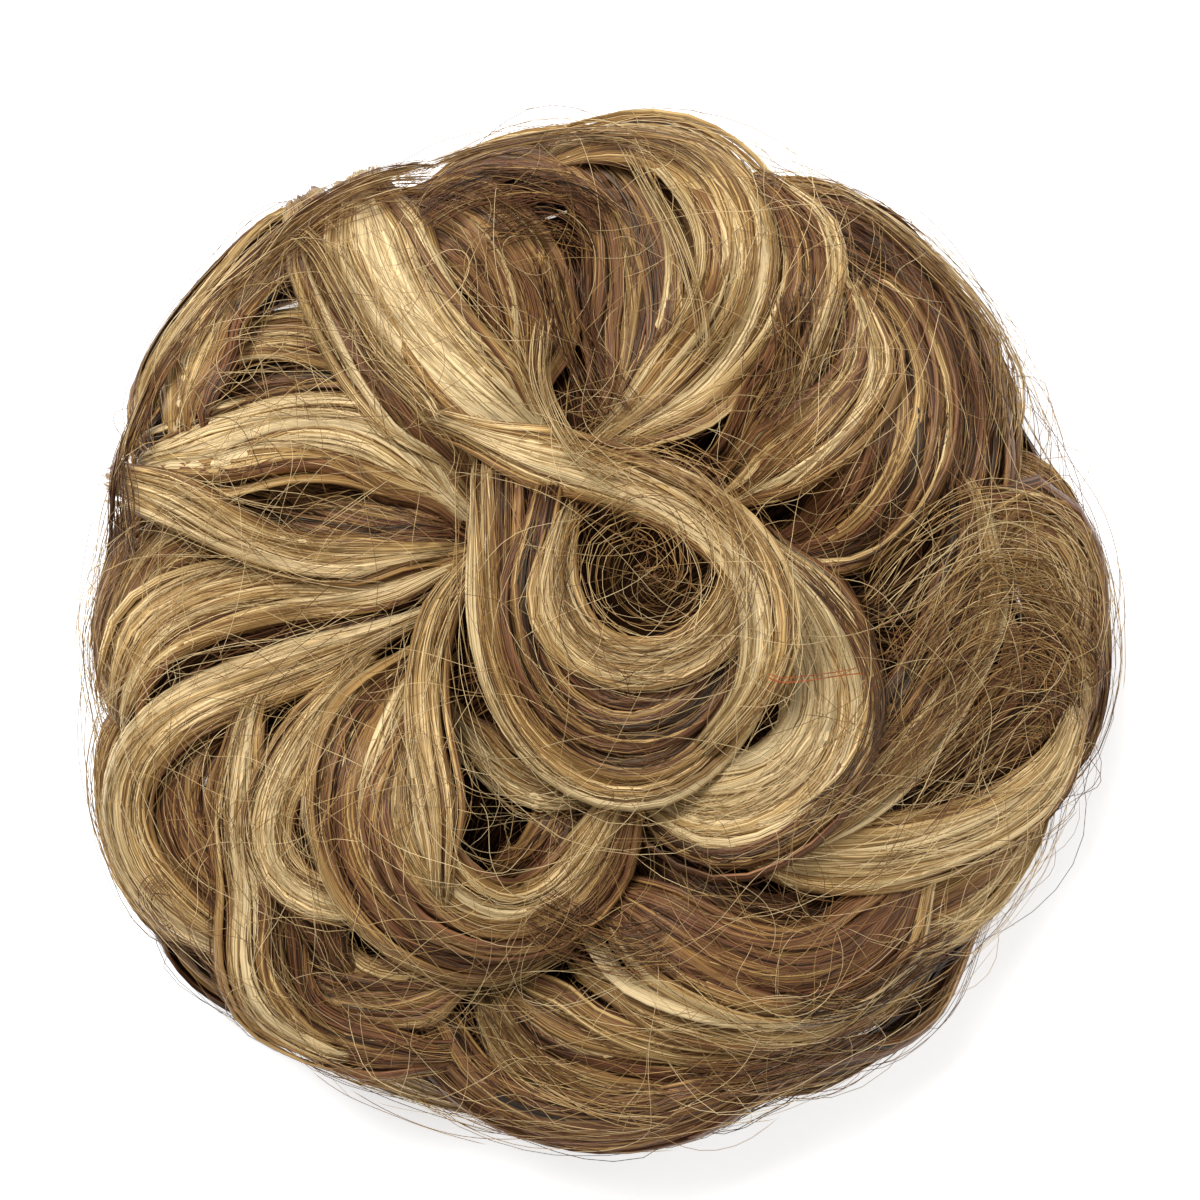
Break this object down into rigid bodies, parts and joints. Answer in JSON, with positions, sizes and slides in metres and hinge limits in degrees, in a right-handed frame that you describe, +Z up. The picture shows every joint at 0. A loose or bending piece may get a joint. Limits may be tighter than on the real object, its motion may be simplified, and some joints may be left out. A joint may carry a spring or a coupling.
{
  "type": "top knot hairpiece",
  "caption": "Messy top-knot hairpiece: looped locks of two-tone wavy hair gathered on an elastic band, hollow below for the wearer's own knot.",
  "frame": {"origin": "on the table, in the middle of the piece's outline, on the axis of the elastic band", "axes": "+Z up through the crown of the knot, +Y towards the top of the picture, +X to its right"},
  "size_m": [0.1492, 0.1503, 0.059],
  "materials": {
    "hair_blonde": "satin",
    "hair_tan": "satin",
    "hair_brown": "satin",
    "hair_rose": "satin",
    "hair_bed": "satin",
    "elastic": "matt"
  },
  "bodies": {
    "root": {"elastic_band": "elastic", "hair_bed": "hair_bed", "under_loop_1": "hair_tan", "under_loop_2": "hair_brown", "under_loop_3": "hair_tan", "under_loop_4": "hair_brown", "under_loop_5": "hair_tan", "rim_low_left": "hair_brown", "rim_bottom_left": "hair_tan", "rim_bottom_right": "hair_brown", "rim_right": "hair_rose", "rim_top_right": "hair_tan", "rim_top_left": "hair_tan", "rim_left_upper": "hair_tan", "rim_left_lower": "hair_tan", "left_loop_filling": "hair_brown", "left_low_brown": "hair_brown", "left_middle_brown": "hair_rose", "left_upper_brown": "hair_brown", "top_brown_sweep": "hair_brown", "top_left_brown": "hair_rose", "right_outer_brown": "hair_brown", "right_middle_brown": "hair_rose", "right_rim_tan": "hair_tan", "right_sweep": "hair_brown", "bottom_tan_fan": "hair_tan", "bottom_brown_loop": "hair_brown", "low_left_under": "hair_tan", "low_left_tan": "hair_tan", "right_low_brown": "hair_brown", "left_rose": "hair_rose", "left_inner_loop": "hair_tan", "left_low_blonde": "hair_blonde", "left_upper_arch": "hair_tan", "left_blonde_arch": "hair_blonde", "left_slanting_blonde": "hair_blonde", "left_long_loop": "hair_blonde", "left_upright_blonde": "hair_blonde", "left_hooked_blonde": "hair_blonde", "top_left_golden": "hair_blonde", "top_left_two_tone": "hair_rose", "top_left_blonde": "hair_blonde", "top_blonde": "hair_blonde", "top_right_curl": "hair_rose", "top_right_tan": "hair_tan", "low_right_blonde_arc": "hair_blonde", "right_low_rim": "hair_blonde", "low_right_two_tone": "hair_rose", "right_long_blonde": "hair_blonde", "right_second_ring": "hair_tan", "right_big_blonde": "hair_blonde", "u_curl_filling": "hair_rose", "small_hook": "hair_blonde", "u_curl_outer": "hair_blonde", "u_curl_inner": "hair_blonde", "middle_upright": "hair_blonde", "centre_outer_curl": "hair_tan", "centre_middle_curl": "hair_rose", "centre_ring": "hair_blonde", "crown_band": "hair_blonde"}
  },
  "joints": []
}
